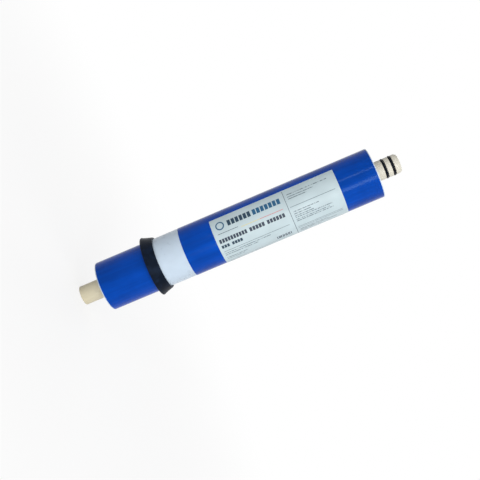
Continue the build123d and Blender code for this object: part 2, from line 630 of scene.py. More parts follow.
def add_node(tree, kind, inputs=None, **settings):
    """Add a node, with its settings, and with a value or a link at each named input."""
    made = tree.nodes.new(kind)
    for key, value in settings.items():
        setattr(made, key, value)
    for key, value in (inputs or {}).items():
        if isinstance(value, bpy.types.NodeSocket):
            tree.links.new(value, made.inputs[key])
        else:
            made.inputs[key].default_value = value
    return made


def new_finish(name, **constants):
    """Material with a Principled shader, and the constants on the shader's own sockets."""
    material = bpy.data.materials.new(name)
    material.use_nodes = True
    tree = material.node_tree
    shader = tree.nodes["Principled BSDF"]
    for key, value in constants.items():
        shader.inputs[key.replace("_", " ")].default_value = value
    return material, tree, shader


def opaque(colour):
    """Colour with full opacity."""
    return (*colour, 1.0)


def shade_of(colour, factor):
    """Lighter or darker colour with full opacity."""
    return tuple(min(1.0, channel * factor) for channel in colour) + (1.0,)


def object_places(tree):
    """Object coordinates."""
    return add_node(tree, "ShaderNodeTexCoord").outputs["Object"]


def maths(tree, operation, first, second=0.0, third=0.0):
    """Math node, with a value or a socket at each input."""
    return add_node(
        tree, "ShaderNodeMath", {0: first, 1: second, 2: third}, operation=operation
    ).outputs[0]


def noise(tree, places, scale, detail=3.0, roughness=0.5, stretch=(1, 1, 1)):
    """Noise at a scale per metre, stretched along the axes."""
    if stretch != (1, 1, 1):
        places = add_node(tree, "ShaderNodeMapping", {"Vector": places, "Scale": stretch}).outputs[0]
    inputs = {"Vector": places, "Scale": scale, "Detail": detail, "Roughness": roughness}
    return add_node(tree, "ShaderNodeTexNoise", inputs).outputs["Fac"]


def ramp(tree, value, low, high, start=0.0, end=1.0, soft=False):
    """Map a value from one range to another, clamped."""
    keys = {"Value": value, "From Min": low, "From Max": high, "To Min": start, "To Max": end}
    kind = "SMOOTHSTEP" if soft else "LINEAR"
    return add_node(tree, "ShaderNodeMapRange", keys, interpolation_type=kind).outputs["Result"]


def spread(tree, cloud, start=0.0, end=1.0):
    """Spread a noise, which lies mostly from 0.3 to 0.7, over a range."""
    return ramp(tree, cloud, 0.3, 0.7, start, end)


def mix(tree, factor, first, second):
    """Mix two colours, the node's inputs 6 and 7, into its output 2."""
    inputs = {0: factor, 6: first, 7: second}
    return add_node(tree, "ShaderNodeMix", inputs, data_type="RGBA").outputs[2]


def shades(tree, factor, colour, low, high):
    """Colour between two shades of itself, given as factors of its brightness."""
    return mix(tree, factor, shade_of(colour, low), shade_of(colour, high))


def roll_places(tree, radius):
    """Distance round the roll at a radius, and height."""
    x, y, z = add_node(tree, "ShaderNodeSeparateXYZ", {0: object_places(tree)}).outputs
    turn = maths(tree, "ARCTAN2", y, x)
    return maths(tree, "MULTIPLY", turn, radius), z


def crossing_waves(tree, radius, waves):
    """Two sets of diagonal waves round the roll, one for each way that a net's strands run."""
    arc, height = roll_places(tree, radius)
    slants = [maths(tree, "ADD", arc, height), maths(tree, "SUBTRACT", arc, height)]
    return [maths(tree, "SINE", maths(tree, "MULTIPLY", slant, waves)) for slant in slants]


def apart(tree, first, second):
    """How far two values are apart."""
    return maths(tree, "ABSOLUTE", maths(tree, "SUBTRACT", first, second))


def set_bump(tree, shader, pattern, depth, strength):
    """Bump on a shader, from a pattern and the depth in metres that 1 in it stands for."""
    inputs = {"Height": pattern, "Distance": depth, "Strength": strength}
    bump = add_node(tree, "ShaderNodeBump", inputs)
    tree.links.new(bump.outputs[0], shader.inputs["Normal"])


def set_look(tree, shader, colour, roughness):
    """Link the colour and the roughness of a shader."""
    tree.links.new(colour, shader.inputs["Base Color"])
    tree.links.new(roughness, shader.inputs["Roughness"])


# Finishes


def film_finish(colour, lap_end):
    """Glossy saturated film with faint streaks along the roll that are partly painted reflection, fine
    unevenness, scuffed cut ends and a painted highlight along the lap's edge.
    """
    material, tree, shader = new_finish(
        "blue_film", Specular_IOR_Level=0.13, Specular_Tint=opaque(FILM_GLOSS)
    )
    places = object_places(tree)
    cloud = noise(tree, places, scale=38)
    bands = noise(tree, places, scale=110, detail=2, stretch=(1, 1, 0.08))
    streaks = noise(tree, places, scale=420, detail=2, roughness=0.6, stretch=(1, 1, 0.06))
    # The streaks and bands along the roll lighten and darken the colour: partly random tone, and partly
    # painted reflection that stands in for light caught in the film's wrinkles
    tone_and_sheen = maths(tree, "MULTIPLY_ADD", streaks, 0.25, maths(tree, "MULTIPLY", cloud, 0.4))
    tone_and_sheen = maths(tree, "MULTIPLY_ADD", bands, 0.35, tone_and_sheen)
    tone = shades(tree, ramp(tree, tone_and_sheen, 0.36, 0.64), colour, 0.76, 1.2)
    # Lighter towards the films' cut ends as wear, and along the lap's edge as a painted highlight
    wear_and_highlight = maths(tree, "MULTIPLY", cut_edges(tree, lap_end), ramp(tree, cloud, 0.35, 0.65, 0.1, 0.55))
    tone = mix(tree, wear_and_highlight, tone, opaque(FILM_WEAR_AND_LAP_HIGHLIGHT))
    grain = noise(tree, places, scale=160, detail=4, roughness=0.6)
    set_look(tree, shader, tone, spread(tree, grain, 0.12, 0.19))
    unevenness = maths(tree, "MULTIPLY_ADD", streaks, 0.5, noise(tree, places, scale=240, detail=2))
    set_bump(tree, shader, unevenness, depth=0.03 * MM, strength=0.6)
    return material


def cut_edges(tree, lap_end):
    """1 on the cut edges of both films, which are scuffed, and at the turn where the lap ends, which gets a
    painted highlight, fading out close by.
    """
    arc, height = roll_places(tree, ROLL_RADIUS)
    nearest = apart(tree, arc, math.radians(lap_end) * ROLL_RADIUS)
    for edge in (FEED_FILM_BOTTOM, FEED_FILM_TOP, MAIN_FILM_BOTTOM, MAIN_FILM_TOP):
        nearest = maths(tree, "MINIMUM", nearest, apart(tree, height, edge))
    return ramp(tree, nearest, 0.05 * MM, 0.45 * MM, 1.0, 0.0, soft=True)


def sleeve_finish(colour):
    """Cool white sleeve in which the net below shows faintly."""
    material, tree, shader = new_finish("white_sleeve", Specular_IOR_Level=0.45)
    places = object_places(tree)
    cloud = noise(tree, places, scale=45)
    tone = shades(tree, ramp(tree, cloud, 0.35, 0.65), colour, 0.94, 1.05)
    net = maths(tree, "MULTIPLY", *crossing_waves(tree, SLEEVE_OUTER_RADIUS, SLEEVE_NET_WAVES))
    set_look(tree, shader, tone, spread(tree, noise(tree, places, scale=180), 0.26, 0.38))
    set_bump(tree, shader, maths(tree, "MULTIPLY_ADD", net, 0.2, cloud), depth=0.04 * MM, strength=0.5)
    return material


def rubber_finish(name, colour, low, high):
    """Black rubber with a thin pale bloom, a fine moulded skin and a roughness between two values."""
    material, tree, shader = new_finish(name, Specular_IOR_Level=0.1, Specular_Tint=opaque(RUBBER_GLOSS))
    places = object_places(tree)
    bloom = noise(tree, places, scale=130, detail=5, roughness=0.62)
    tone = shades(tree, ramp(tree, bloom, 0.42, 0.72, soft=True), colour, 0.8, 2.1)
    set_look(tree, shader, tone, spread(tree, bloom, low, high))
    set_bump(tree, shader, noise(tree, places, scale=1900), depth=0.02 * MM, strength=0.5)
    return material


def tube_finish(name, colour, aged):
    """Moulded tube plastic, yellower towards the feed end, with faint turning lines."""
    material, tree, shader = new_finish(name, Specular_IOR_Level=0.4)
    places = object_places(tree)
    height = add_node(tree, "ShaderNodeSeparateXYZ", {0: places}).outputs[2]
    cloud = noise(tree, places, scale=90, detail=4)
    age = ramp(tree, height, 0.0, AGED_HEIGHT, 0.85, 0.0)
    age = maths(tree, "ADD", age, maths(tree, "MULTIPLY", cloud, 0.25))
    tone = mix(tree, age, opaque(colour), opaque(aged))
    specks = ramp(tree, noise(tree, places, scale=700, detail=2), 0.6, 0.75, 0.0, 0.12)
    tone = mix(tree, specks, tone, shade_of(aged, 0.6))
    set_look(tree, shader, tone, spread(tree, cloud, 0.34, 0.46))
    rings = noise(tree, places, scale=300, detail=1, stretch=(0.05, 0.05, 5))
    set_bump(tree, shader, rings, depth=0.005 * MM, strength=0.4)
    return material


def paper_finish(name, paper, ink):
    """Satin paper with fine fibres, and one plain hoop in the corner."""
    material, tree, shader = new_finish(name, Specular_IOR_Level=0.4)
    arc, height = roll_places(tree, LABEL_RADIUS)
    places = object_places(tree)
    fibres = noise(tree, places, scale=1500, detail=4, roughness=0.7)
    cloud = noise(tree, places, scale=60, detail=2)
    tone = shades(tree, spread(tree, cloud), paper, 0.96, 1.04)
    middle_arc = math.radians(LABEL_FIRST_TURN + HOOP_TURN) * LABEL_RADIUS
    across = maths(tree, "SUBTRACT", arc, middle_arc)
    along = maths(tree, "SUBTRACT", height, LABEL_BOTTOM + HOOP_PLACE)
    square = maths(tree, "MULTIPLY_ADD", across, across, maths(tree, "MULTIPLY", along, along))
    off_line = apart(tree, maths(tree, "SQRT", square), HOOP_RADIUS)
    half = HOOP_WIDTH / 2
    hoop = ramp(tree, off_line, half - HOOP_SOFT_EDGE, half + HOOP_SOFT_EDGE, 1.0, 0.0)
    set_look(tree, shader, mix(tree, hoop, tone, opaque(ink)), spread(tree, fibres, 0.34, 0.48))
    set_bump(tree, shader, fibres, depth=0.012 * MM, strength=0.5)
    return material


def ink_finish(name, ink, paper=None):
    """Printed ink on the paper's grain. With a paper colour, it is a fine line broken by gaps."""
    material, tree, shader = new_finish(name, Specular_IOR_Level=0.4)
    places = object_places(tree)
    fibres = noise(tree, places, scale=1500, detail=4, roughness=0.7)
    tone = mix(tree, ramp(tree, fibres, 0.45, 0.8), opaque(ink), shade_of(ink, 1.5))
    if paper is not None:
        gaps = noise(tree, places, scale=700, detail=1, stretch=(0.5, 0.5, 1.2))
        tone = mix(tree, ramp(tree, gaps, 0.5, 0.6, 0.3, 0.85), tone, opaque(paper))
    set_look(tree, shader, tone, spread(tree, fibres, 0.3, 0.42))
    set_bump(tree, shader, fibres, depth=0.012 * MM, strength=0.5)
    return material


def winding_depth(tree):
    """Depth in a turn of the winding, where the leaf comes first and the spacer after it, and height."""
    x, y, z = add_node(tree, "ShaderNodeSeparateXYZ", {0: object_places(tree)}).outputs
    upper = maths(tree, "GREATER_THAN", y, 0.0)
    shift = ramp(tree, upper, 0.0, 1.0, CENTRE_SHIFT, -CENTRE_SHIFT)
    flat = add_node(tree, "ShaderNodeCombineXYZ", {0: maths(tree, "SUBTRACT", x, shift), 1: y}).outputs[0]
    out = add_node(tree, "ShaderNodeVectorMath", {0: flat}, operation="LENGTH").outputs["Value"]
    # Counted from some steps further in, so that the count stays positive
    start = FIRST_RADIUS - INNER_STEPS * WINDING_STEP
    turns = maths(tree, "DIVIDE", maths(tree, "SUBTRACT", out, start), WINDING_STEP)
    return maths(tree, "MULTIPLY", maths(tree, "FRACT", turns), WINDING_STEP), z


def leaf_finish(membrane, cloth, glue):
    """Leaf with membrane on both faces, cloth between them and glue soaked in near both ends."""
    material, tree, shader = new_finish("membrane_leaf", Specular_IOR_Level=0.4)
    places = object_places(tree)
    depth, height = winding_depth(tree)
    in_cloth = ramp(tree, apart(tree, depth, LEAF_THICKNESS / 2), *CLOTH_EDGE, 1.0, 0.0)
    knit = noise(tree, places, scale=2200, detail=2)
    half = (LEAF_TOP - LEAF_BOTTOM) / 2
    from_middle = apart(tree, height, LEAF_BOTTOM + half)
    glued = ramp(tree, from_middle, half - GLUE_GONE, half - GLUE_FULL)
    patchy = maths(tree, "MULTIPLY", glued, ramp(tree, noise(tree, places, scale=160), 0.3, 0.6, 0.45, 1.0))
    core = mix(tree, patchy, opaque(cloth), opaque(glue))
    core = mix(tree, ramp(tree, knit, 0.4, 0.65, 0.0, 0.35), core, shade_of(cloth, 0.55))
    skin = shades(tree, noise(tree, places, scale=70), membrane, 0.95, 1.04)
    set_look(tree, shader, mix(tree, in_cloth, skin, core), spread(tree, knit, 0.42, 0.6))
    set_bump(tree, shader, knit, depth=0.05 * MM, strength=0.5)
    return material


def net_body_finish(strand, gap):
    """Diamond net: strands crossing two ways over painted shade in the gaps, which stands in for the depth
    of the open cells.
    """
    material, tree, shader = new_finish("spacer_net", Specular_IOR_Level=0.4)
    strands = maths(tree, "MAXIMUM", *crossing_waves(tree, NET_RADIUS, NET_WAVES))
    solid = ramp(tree, strands, 0.45, 0.75, soft=True)
    grain = noise(tree, object_places(tree), scale=500)
    # The gaps between the strands get painted shade, as if one saw down into the open cells
    tone = mix(tree, solid, opaque(gap), shades(tree, grain, strand, 0.85, 1.1))
    set_look(tree, shader, tone, spread(tree, grain, 0.35, 0.5))
    set_bump(tree, shader, strands, depth=0.25 * MM, strength=0.8)
    return material


def strand_finish(strand):
    """Hazy natural plastic of the net's strand ends."""
    material, tree, shader = new_finish(
        "net_strand", Specular_IOR_Level=0.5, Subsurface_Weight=0.15, Subsurface_Scale=0.5 * MM
    )
    grain = noise(tree, object_places(tree), scale=600)
    tone = shades(tree, grain, strand, 0.85, 1.12)
    set_look(tree, shader, tone, spread(tree, grain, 0.25, 0.4))
    set_bump(tree, shader, grain, depth=0.02 * MM, strength=0.4)
    return material


def cloth_finish(colour):
    """Knitted cloth with fine ribs along the axis."""
    material, tree, shader = new_finish(
        "core_cloth", Specular_IOR_Level=0.25, Sheen_Weight=0.25, Sheen_Roughness=0.5
    )
    arc, height = roll_places(tree, CORE_RADIUS)
    ribs = maths(tree, "SINE", maths(tree, "MULTIPLY", arc, RIB_WAVES))
    loops = maths(tree, "SINE", maths(tree, "MULTIPLY", height, LOOP_WAVES))
    crossings = maths(tree, "MULTIPLY", ribs, loops)
    knit = maths(tree, "MULTIPLY_ADD", crossings, 0.25, maths(tree, "MULTIPLY", ribs, 0.5))
    fuzz = noise(tree, object_places(tree), scale=1300)
    tone = shades(tree, ramp(tree, knit, -0.7, 0.7), colour, 0.78, 1.04)
    set_look(tree, shader, tone, spread(tree, fuzz, 0.7, 0.9))
    set_bump(tree, shader, knit, depth=0.08 * MM, strength=0.7)
    return material


def tape_finish(colour):
    """Glossy tape with faint creases."""
    material, tree, shader = new_finish("core_tape", Specular_IOR_Level=0.5)
    places = object_places(tree)
    cloud = noise(tree, places, scale=120, detail=4)
    tone = shades(tree, cloud, colour, 0.9, 1.08)
    set_look(tree, shader, tone, spread(tree, cloud, 0.15, 0.3))
    set_bump(tree, shader, noise(tree, places, scale=320, detail=2), depth=0.03 * MM, strength=0.5)
    return material


# Operators


class ELEMENT_OT_tube(bpy.types.Operator):
    """Turn the centre tube, with its grooves, nose, plug seat and drilled holes"""

    bl_idname = "element.tube"
    bl_label = "Centre Tube"

    def execute(self, context):
        settings = context.scene.element_tube
        edge = settings.edge
        corners = [
            (BORE_RADIUS, SEAT_DEPTH, 0),
            (SEAT_RADIUS, SEAT_DEPTH, 0),
            (SEAT_RADIUS, 0, edge),
            (TUBE_END_RADIUS, 0, 2.5 * edge),
            (TUBE_END_RADIUS, ROLL_BOTTOM, 0),
            (TUBE_BODY_RADIUS, ROLL_BOTTOM, edge / 2),
            (TUBE_BODY_RADIUS, ROLL_TOP, edge / 2),
            (TUBE_END_RADIUS, ROLL_TOP, 0),
        ]
        for height in RING_HEIGHTS:
            corners += [
                (TUBE_END_RADIUS, height - GROOVE_HALF_WIDTH, edge),
                (GROOVE_RADIUS, height - GROOVE_HALF_WIDTH, edge),
                (GROOVE_RADIUS, height + GROOVE_HALF_WIDTH, edge),
                (TUBE_END_RADIUS, height + GROOVE_HALF_WIDTH, edge),
            ]
        corners += [
            (TUBE_END_RADIUS, TUBE_TOP - NOSE_LENGTH, 3 * edge),
            (TUBE_END_RADIUS - NOSE_CHAMFER, TUBE_TOP, 3 * edge),
            (BORE_RADIUS + 3 * edge, TUBE_TOP, edge),
            (BORE_RADIUS, TUBE_TOP - 3 * edge, edge),
        ]
        tube = turned("centre_tube", corners)
        self.drill(tube)
        tube.data.materials.append(tube_finish("tube_plastic_look", settings.colour, settings.aged_colour))
        smooth(tube)
        hand_over(tube, "tube_plastic", "permeate_tube")
        return {"FINISHED"}

    def drill(self, tube):
        """Cut the four cross holes with one cutter."""
        clear_selection()
        drills = []
        length = TUBE_BODY_RADIUS + DRILL_OVERRUN
        for i, height in enumerate(HOLE_HEIGHTS):
            turn = math.radians(FIRST_HOLE_TURN + 90 * i)
            place = (math.cos(turn) * length / 2, math.sin(turn) * length / 2, height)
            bpy.ops.mesh.primitive_cylinder_add(
                vertices=32,
                radius=HOLE_RADIUS,
                depth=length,
                location=place,
                rotation=(0, math.pi / 2, turn),
            )
            drills.append(bpy.context.object)
        for drill in drills:
            drill.select_set(True)
        bpy.ops.object.join()
        cutter = bpy.context.object
        finish_with(tube, "BOOLEAN", "holes", operation="DIFFERENCE", solver="EXACT", object=cutter)
        bpy.data.objects.remove(cutter)


class ELEMENT_OT_plug(bpy.types.Operator):
    """Turn the dished plug in the feed end of the tube"""

    bl_idname = "element.plug"
    bl_label = "Feed End Plug"

    def execute(self, context):
        colour = context.scene.element_tube.aged_colour
        corners = [
            (0, PLUG_FLOOR - GATE_DEPTH, 0),
            (GATE_RADIUS, PLUG_FLOOR - GATE_DEPTH, 0.12 * MM),
            (GATE_RADIUS, PLUG_FLOOR, 0.1 * MM),
            (PLUG_BORE, PLUG_FLOOR, 0.5 * MM),
            (PLUG_BORE, PLUG_BOTTOM, 0.25 * MM),
            (PLUG_RADIUS, PLUG_BOTTOM, 0.25 * MM),
            (PLUG_RADIUS, PLUG_TOP, 0.3 * MM),
            (0, PLUG_TOP, 0),
        ]
        plug = turned("plug", corners, steps=96, closed=False)
        plug.data.materials.append(tube_finish("plug_plastic_look", colour, colour))
        smooth(plug)
        hand_over(plug, "plug_plastic", "feed_end_plug")
        return {"FINISHED"}


class ELEMENT_OT_rings(bpy.types.Operator):
    """Model one O-ring with its parting line, and copy it into both grooves"""

    bl_idname = "element.rings"
    bl_label = "O-Rings"

    def execute(self, context):
        settings = context.scene.element_rings
        clear_selection()
        bpy.ops.mesh.primitive_torus_add(
            major_segments=128,
            minor_segments=28,
            major_radius=RING_RADIUS,
            minor_radius=RING_SECTION_RADIUS,
        )
        ring = bpy.context.object
        outer = RING_RADIUS + RING_SECTION_RADIUS
        bpy.ops.object.mode_set(mode="EDIT")
        choose(ring, "EDGE", lambda edge: self.on_loop(ring, edge, outer))
        bpy.ops.mesh.bevel(offset=PARTING_WIDTH, segments=2, affect="EDGES")
        choose(ring, "VERT", lambda corner: abs(corner.co.z) < TOLERANCE and corner.co.length > RING_RADIUS)
        growth = 1 + settings.parting / outer
        bpy.ops.transform.resize(value=(growth, growth, 1), center_override=CENTRE)
        bpy.ops.object.mode_set(mode="OBJECT")
        ring.data.materials.append(rubber_finish("ring_rubber_look", settings.colour, low=0.26, high=0.42))
        smooth(ring, degrees=50)
        for node, height in zip(RING_NODES, RING_HEIGHTS):
            copy = bpy.data.objects.new(node.replace("o_ring", "round_ring"), ring.data.copy())
            copy.data.transform(Matrix.Translation((0, 0, height)))
            context.scene.collection.objects.link(copy)
            hand_over(copy, "ring_rubber", node)
        bpy.data.objects.remove(ring)
        return {"FINISHED"}

    def on_loop(self, ring, edge, outer):
        """Whether an edge lies on the ring's outermost loop."""
        ends = [ring.data.vertices[i].co for i in edge.vertices]
        return all(abs(end.length - outer) < TOLERANCE for end in ends)


class ELEMENT_OT_sleeve(bpy.types.Operator):
    """Turn the white sleeve that holds the whole roll"""

    bl_idname = "element.sleeve"
    bl_label = "White Sleeve"

    def execute(self, context):
        settings = context.scene.element_wraps
        corners = [
            (SLEEVE_INNER_RADIUS, ROLL_BOTTOM, SLEEVE_EDGE),
            (SLEEVE_OUTER_RADIUS, ROLL_BOTTOM, SLEEVE_EDGE),
            (SLEEVE_OUTER_RADIUS, ROLL_TOP, SLEEVE_EDGE),
            (SLEEVE_INNER_RADIUS, ROLL_TOP, SLEEVE_EDGE),
        ]
        sleeve = turned("sleeve", corners, steps=180)
        sleeve.data.materials.append(sleeve_finish(settings.sleeve_colour))
        smooth(sleeve)
        hand_over(sleeve, "sleeve_white", "roll_sleeve")
        return {"FINISHED"}


class ELEMENT_OT_films(bpy.types.Operator):
    """Wind the two lengths of blue film, each lapped over its own start"""

    bl_idname = "element.films"
    bl_label = "Blue Films"

    def execute(self, context):
        settings = context.scene.element_wraps
        look = film_finish(settings.film_colour, LAP_TURN + math.degrees(settings.lap_angle))
        films = (
            ("main_film", "main_film_wrap", ROLL_RADIUS, MAIN_FILM_BOTTOM, MAIN_FILM_TOP, 96),
            ("feed_film", "feed_film_wrap", FEED_FILM_RADIUS, FEED_FILM_BOTTOM, FEED_FILM_TOP, 28),
        )
        for name, node, radius, bottom, top, cuts in films:
            film = upright_line(name, radius, LAP_TURN, bottom, top, cuts)
            self.wind(settings, film, radius)
            film.data.materials.append(look)
            smooth(film)
            hand_over(film, "film_blue", node)
        return {"FINISHED"}

    def wind(self, settings, film, radius):
        """Wind a film from its first line: once round, up over its start, and on along the lap."""
        spin_on(360, steps=180)
        rise = (radius + settings.film_thickness + LAP_CLEARANCE) / radius
        bpy.ops.transform.resize(value=(rise, rise, 1), center_override=CENTRE)
        spin_on(math.degrees(settings.lap_angle), steps=8)
        bpy.ops.object.mode_set(mode="OBJECT")
        face_outwards(film)
        ripple(film, settings.ripple)
        finish_with(film, "SOLIDIFY", "thickness", thickness=settings.film_thickness, offset=-1)


class ELEMENT_OT_seal(bpy.types.Operator):
    """Turn the brine seal: a sleeve on the roll and a lip that flares towards the feed end"""

    bl_idname = "element.seal"
    bl_label = "Brine Seal"

    def execute(self, context):
        settings = context.scene.element_seal
        lip = settings.rounding
        sleeve_bottom = SEAL_BOTTOM + SEAL_SLEEVE_HEIGHT
        corners = [
            (SEAL_INNER_RADIUS, sleeve_bottom, 0.25 * MM),
            (SEAL_INNER_RADIUS, SEAL_TOP, 0.2 * MM),
            (SEAL_SLEEVE_RADIUS, SEAL_TOP, 0.5 * MM),
            (SEAL_WAIST_RADIUS, SEAL_TOP - SEAL_WAIST_DEPTH, 1.2 * MM),
            (SEAL_BRIM_RADIUS, SEAL_BOTTOM + SEAL_BRIM_HEIGHT, 0.6 * MM),
            (SEAL_LIP_RADIUS, SEAL_BOTTOM + SEAL_LIP_HEIGHT, 0.25 * MM),
            (SEAL_LIP_RADIUS, SEAL_BOTTOM, lip),
            (SEAL_LIP_RADIUS - SEAL_LIP_WALL, SEAL_BOTTOM, lip),
            (SEAL_SLEEVE_RADIUS, SEAL_TOP - SEAL_ROOT_DEPTH, 0.9 * MM),
            (SEAL_SLEEVE_RADIUS, sleeve_bottom, 0.3 * MM),
        ]
        seal = turned("seal", corners, steps=160)
        seal.data.materials.append(rubber_finish("seal_rubber_look", settings.colour, low=0.34, high=0.52))
        smooth(seal)
        hand_over(seal, "seal_rubber", "brine_seal")
        return {"FINISHED"}


class ELEMENT_OT_label(bpy.types.Operator):
    """Lay the label on the film and print its plain bars, rules and fields"""

    bl_idname = "element.label"
    bl_label = "Label"

    def execute(self, context):
        settings = context.scene.element_label
        sheet = upright_line("label_sheet", LABEL_RADIUS, LABEL_FIRST_TURN, LABEL_BOTTOM, LABEL_TOP, 0)
        spin_on(LABEL_TURNS, steps=LABEL_TURNS)
        edges = {place for mark in MARKS for place in mark[:2]}
        for place in sorted(edges | set(range(LABEL_STEP_MM, LABEL_LENGTH_MM, LABEL_STEP_MM))):
            bpy.ops.mesh.select_all(action="SELECT")
            cut = (0, 0, LABEL_BOTTOM + place * MM)
            bpy.ops.mesh.bisect(plane_co=cut, plane_no=AXIS, threshold=TOLERANCE)
        bpy.ops.object.mode_set(mode="OBJECT")
        face_outwards(sheet)
        for look in self.looks(settings):
            sheet.data.materials.append(look)
        self.print_marks(sheet)
        ripple(sheet, context.scene.element_wraps.ripple)
        finish_with(sheet, "SOLIDIFY", "thickness", thickness=settings.thickness, offset=-1)
        smooth(sheet)
        hand_over(sheet, "label_paper", "label")
        return {"FINISHED"}

    def looks(self, settings):
        """The paper and the inks, in the order of their names."""
        share = RULE_INK_SHARE
        rule = [(1 - share) * paper + share * ink for paper, ink in zip(settings.paper, settings.text)]
        colours = {
            "headline": settings.headline,
            "accent": settings.accent,
            "text": settings.text,
            "rule": rule,
            "warm": WARM_INK,
            "red": RED_INK,
        }
        made = [paper_finish("label_paper_look", settings.paper, settings.accent)]
        for ink in INKS[1:]:
            if ink == "fine":
                made.append(ink_finish("label_ink_fine", settings.text, settings.paper))
            else:
                made.append(ink_finish("label_ink_" + ink, colours[ink]))
        return made

    def print_marks(self, sheet):
        """Give each face the ink of the mark that it lies in."""
        for face in sheet.data.polygons:
            along = (face.center.z - LABEL_BOTTOM) / MM
            across = math.degrees(math.atan2(face.center.y, face.center.x)) - LABEL_FIRST_TURN
            for start, end, first, last, ink in MARKS:
                if start < along < end and first < across < last:
                    face.material_index = INKS.index(ink)


class ELEMENT_OT_winding(bpy.types.Operator):
    """Finish the leaves, the spacers, the core cloth and its tape"""

    bl_idname = "element.winding"
    bl_label = "Winding"

    def execute(self, context):
        leaf = leaf_finish(MEMBRANE, LEAF_CLOTH, GLUE)
        net = net_body_finish(SPACER, PAINTED_GAP_SHADE)
        looks = {
            "membrane_leaf_a": leaf,
            "membrane_leaf_b": leaf,
            "feed_spacer_a": net,
            "feed_spacer_b": net,
            "core_wrap": cloth_finish(CORE_CLOTH),
            "core_tape": tape_finish(CORE_TAPE),
        }
        for node, look in looks.items():
            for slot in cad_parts[node].material_slots:
                slot.material = look
        return {"FINISHED"}


class ELEMENT_OT_net_ends(bpy.types.Operator):
    """Stand the cut ends of the spacers' strands between the leaves at both ends of the roll"""

    bl_idname = "element.net_ends"
    bl_label = "Net Ends"

    def execute(self, context):
        settings = context.scene.element_net
        look = strand_finish(STRAND)
        ends = {
            "net_ends_top": (NET_TOP - NET_END_DEPTH, LEAF_TOP),
            "net_ends_bottom": (LEAF_BOTTOM, NET_BOTTOM + NET_END_DEPTH),
        }
        for name, (bottom, top) in ends.items():
            stubs = [self.stub(settings, slant, top - bottom) for slant in (settings.slant, -settings.slant)]
            piece = self.copy_along(context, settings, stubs, name, (bottom + top) / 2)
            for stub in stubs:
                bpy.data.objects.remove(stub)
            piece.data.materials.append(look)
            smooth(piece, degrees=40)
            hand_over(piece, "spacer_net")
        return {"FINISHED"}

    def stub(self, settings, slant, height):
        """One slanted strand end at the origin, cut level at its top and bottom."""
        clear_selection()
        bpy.ops.mesh.primitive_cylinder_add(
            vertices=8, radius=settings.strand / 2, depth=4 * height, rotation=(slant, 0, 0)
        )
        bpy.ops.object.transform_apply(location=False, rotation=True, scale=False)
        stub = bpy.context.object
        bpy.ops.object.mode_set(mode="EDIT")
        for side in (-1, 1):
            bpy.ops.mesh.select_all(action="SELECT")
            bpy.ops.mesh.bisect(
                plane_co=(0, 0, side * height / 2), plane_no=(0, 0, side), clear_outer=True, use_fill=True
            )
        bpy.ops.object.mode_set(mode="OBJECT")
        return stub

    def copy_along(self, context, settings, stubs, name, height):
        """Copy the two stubs along both spacers, one near each face of the net, and join the copies."""
        copies = []
        for half in (0, math.pi):
            for layer, stub in enumerate(stubs):
                depth = NET_OFFSET + NET_THICKNESS * STRAND_SHARES[layer]
                for x, y, turn in self.places(settings, depth, layer):
                    mesh = stub.data.copy()
                    spot = Matrix.Translation((x, y, height)) @ Matrix.Rotation(turn, 4, "Z")
                    mesh.transform(Matrix.Rotation(half, 4, "Z") @ spot)
                    copy = bpy.data.objects.new(name, mesh)
                    context.scene.collection.objects.link(copy)
                    copies.append(copy)
        work_on(copies[0])
        for copy in copies:
            copy.select_set(True)
        bpy.ops.object.join()
        piece = bpy.context.object
        piece.name = piece.data.name = name
        return piece

    def places(self, settings, depth, layer):
        """Points a pitch apart along the winding at one depth, with the turn of the surface there."""
        found = []
        half_turn = 0
        run = settings.pitch * (1 + layer) / 2
        while True:
            radius = FIRST_RADIUS + depth + half_turn * WINDING_STEP
            middle = -CENTRE_SHIFT if half_turn % 2 == 0 else CENTRE_SHIFT
            while run < math.pi * radius:
                turn = run / radius + math.pi * (half_turn % 2)
                x = middle + radius * math.cos(turn)
                y = radius * math.sin(turn)
                outer = math.hypot(x, y) + (NET_OFFSET + NET_THICKNESS - depth)
                if outer > PACK_RADIUS:
                    return found
                found.append((x, y, turn))
                run += settings.pitch
            run -= math.pi * radius
            half_turn += 1


